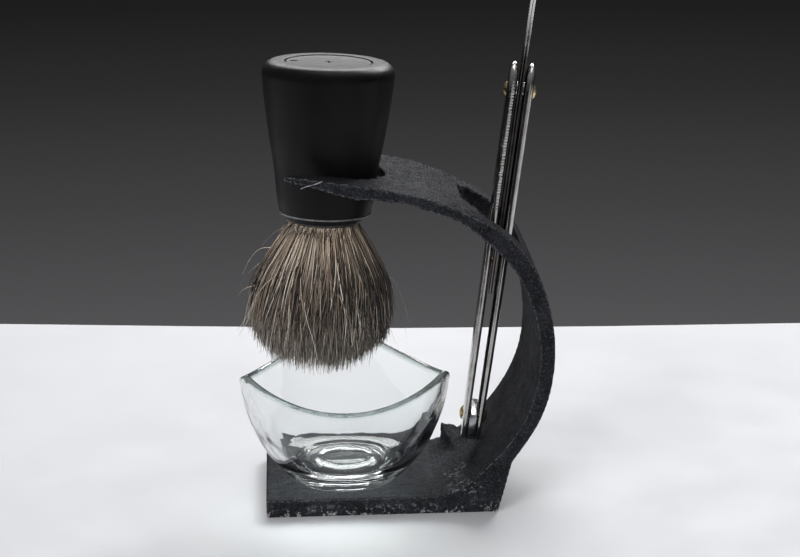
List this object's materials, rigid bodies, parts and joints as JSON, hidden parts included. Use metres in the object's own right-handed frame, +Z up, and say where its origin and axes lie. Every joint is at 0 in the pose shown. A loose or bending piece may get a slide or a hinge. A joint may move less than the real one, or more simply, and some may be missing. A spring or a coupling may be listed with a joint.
{
  "type": "shaving stand set",
  "caption": "C-shaped 3D-printed shaving stand with a hanging brush, a three-cornered glass lather bowl and a closed straight razor.",
  "frame": {"origin": "centre of the base plate's underside", "axes": "+X towards the heel where the arm rises, +Y towards the back, +Z up; the base plate's long side lies along X"},
  "size_m": [0.101, 0.0692, 0.1771],
  "materials": {
    "printed_plastic": "layered 3D print, dark grey to black",
    "bowl_glass": "clear pressed glass, faintly green at the rim",
    "handle_satin": "satin black resin",
    "ferrule_black": "black moulded ring",
    "resin": "amber setting resin",
    "badger_hair": "banded tan and grey-black hair",
    "polished_chrome": "polished",
    "blade_steel": "ground blade steel",
    "brass": "polished"
  },
  "bodies": {
    "stand": {"printed_stand": "printed_plastic"},
    "bowl": {"glass_bowl": "bowl_glass"},
    "brush": {"brush_handle": "handle_satin", "handle_end_cap": "handle_satin", "knot_ferrule": "ferrule_black", "knot_resin_plug": "resin", "bristle_knot": "badger_hair"},
    "razor": {"razor_left_scale": "polished_chrome", "razor_right_scale": "polished_chrome", "scale_spacer": "polished_chrome", "pivot_pin": "brass", "end_pin": "brass", "stop_pin": "brass", "pivot_washers": "blade_steel"},
    "blade_arm": {"holder_left_leaf": "polished_chrome", "holder_right_leaf": "polished_chrome", "half_blade": "blade_steel"}
  },
  "joints": [
    {"name": "brush_out", "type": "slide", "parent": "stand", "child": "brush", "axis": [-0.866, 0, 0.5], "range_m": [0, 0.12]},
    {"name": "bowl_out", "type": "slide", "parent": "stand", "child": "bowl", "axis": [-0.866, -0.5, 0], "range_m": [0, 0.12]},
    {"name": "razor_lift", "type": "slide", "parent": "stand", "child": "razor", "axis": [0.134, 0, 0.991], "range_m": [0, 0.12]},
    {"name": "razor_fold", "type": "hinge", "parent": "razor", "child": "blade_arm", "pos_m": [0.04628, 0, 0.13333], "axis": [-0.986, 0.1002, 0.1333], "range_deg": [0, 9]}
  ]
}
